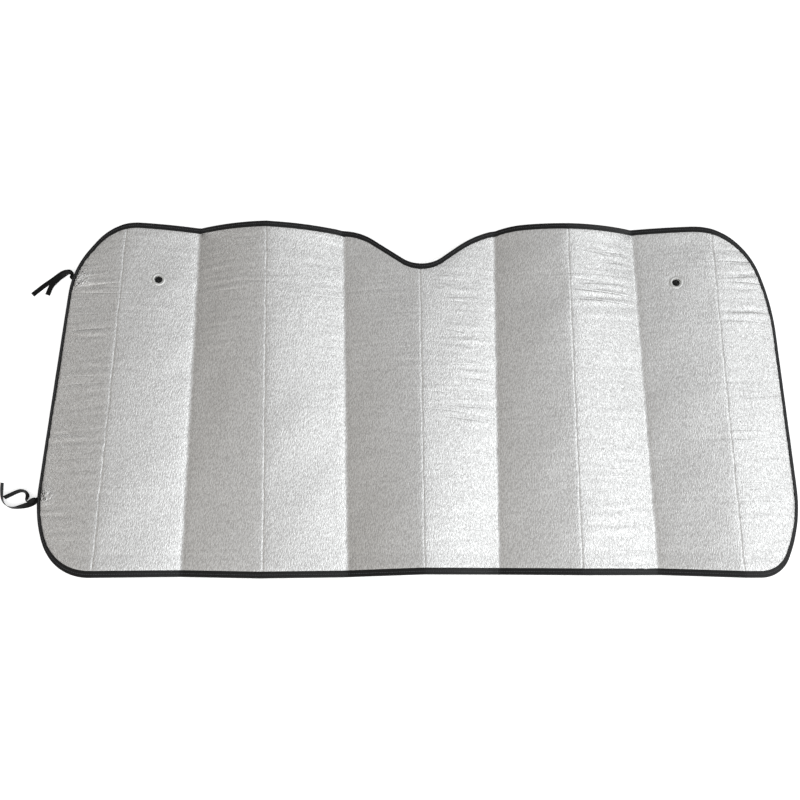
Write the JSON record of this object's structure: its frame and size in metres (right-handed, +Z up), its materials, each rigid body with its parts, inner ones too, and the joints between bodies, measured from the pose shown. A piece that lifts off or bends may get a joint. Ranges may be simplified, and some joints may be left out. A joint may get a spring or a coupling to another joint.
{
  "type": "windscreen sunshade",
  "caption": "Foil-faced folding windscreen sunshade with a mirror notch, a bound edge, corner eyelets and two tie ribbons, laid open face up.",
  "frame": {"origin": "on the floor, under the middle of the box round the whole object, ties included", "axes": "+X across the shade to the right, +Y up its height towards the mirror notch, +Z up from the floor"},
  "size_m": [1.4952, 0.6976, 0.0549],
  "materials": {
    "foil_laminate": "fine pebbled silver foil over thin foam",
    "binding_tape": "black woven tape, sewn",
    "ribbon": "black woven ribbon",
    "eyelet_metal": "bright pressed metal"
  },
  "bodies": {
    "root": {"shade_sheet": "foil_laminate", "edge_binding": "binding_tape", "tie_upper": "ribbon", "tie_lower": "ribbon", "eyelet_left": "eyelet_metal", "eyelet_right": "eyelet_metal", "eyelet_washer_left": "eyelet_metal", "eyelet_washer_right": "eyelet_metal"}
  },
  "joints": []
}
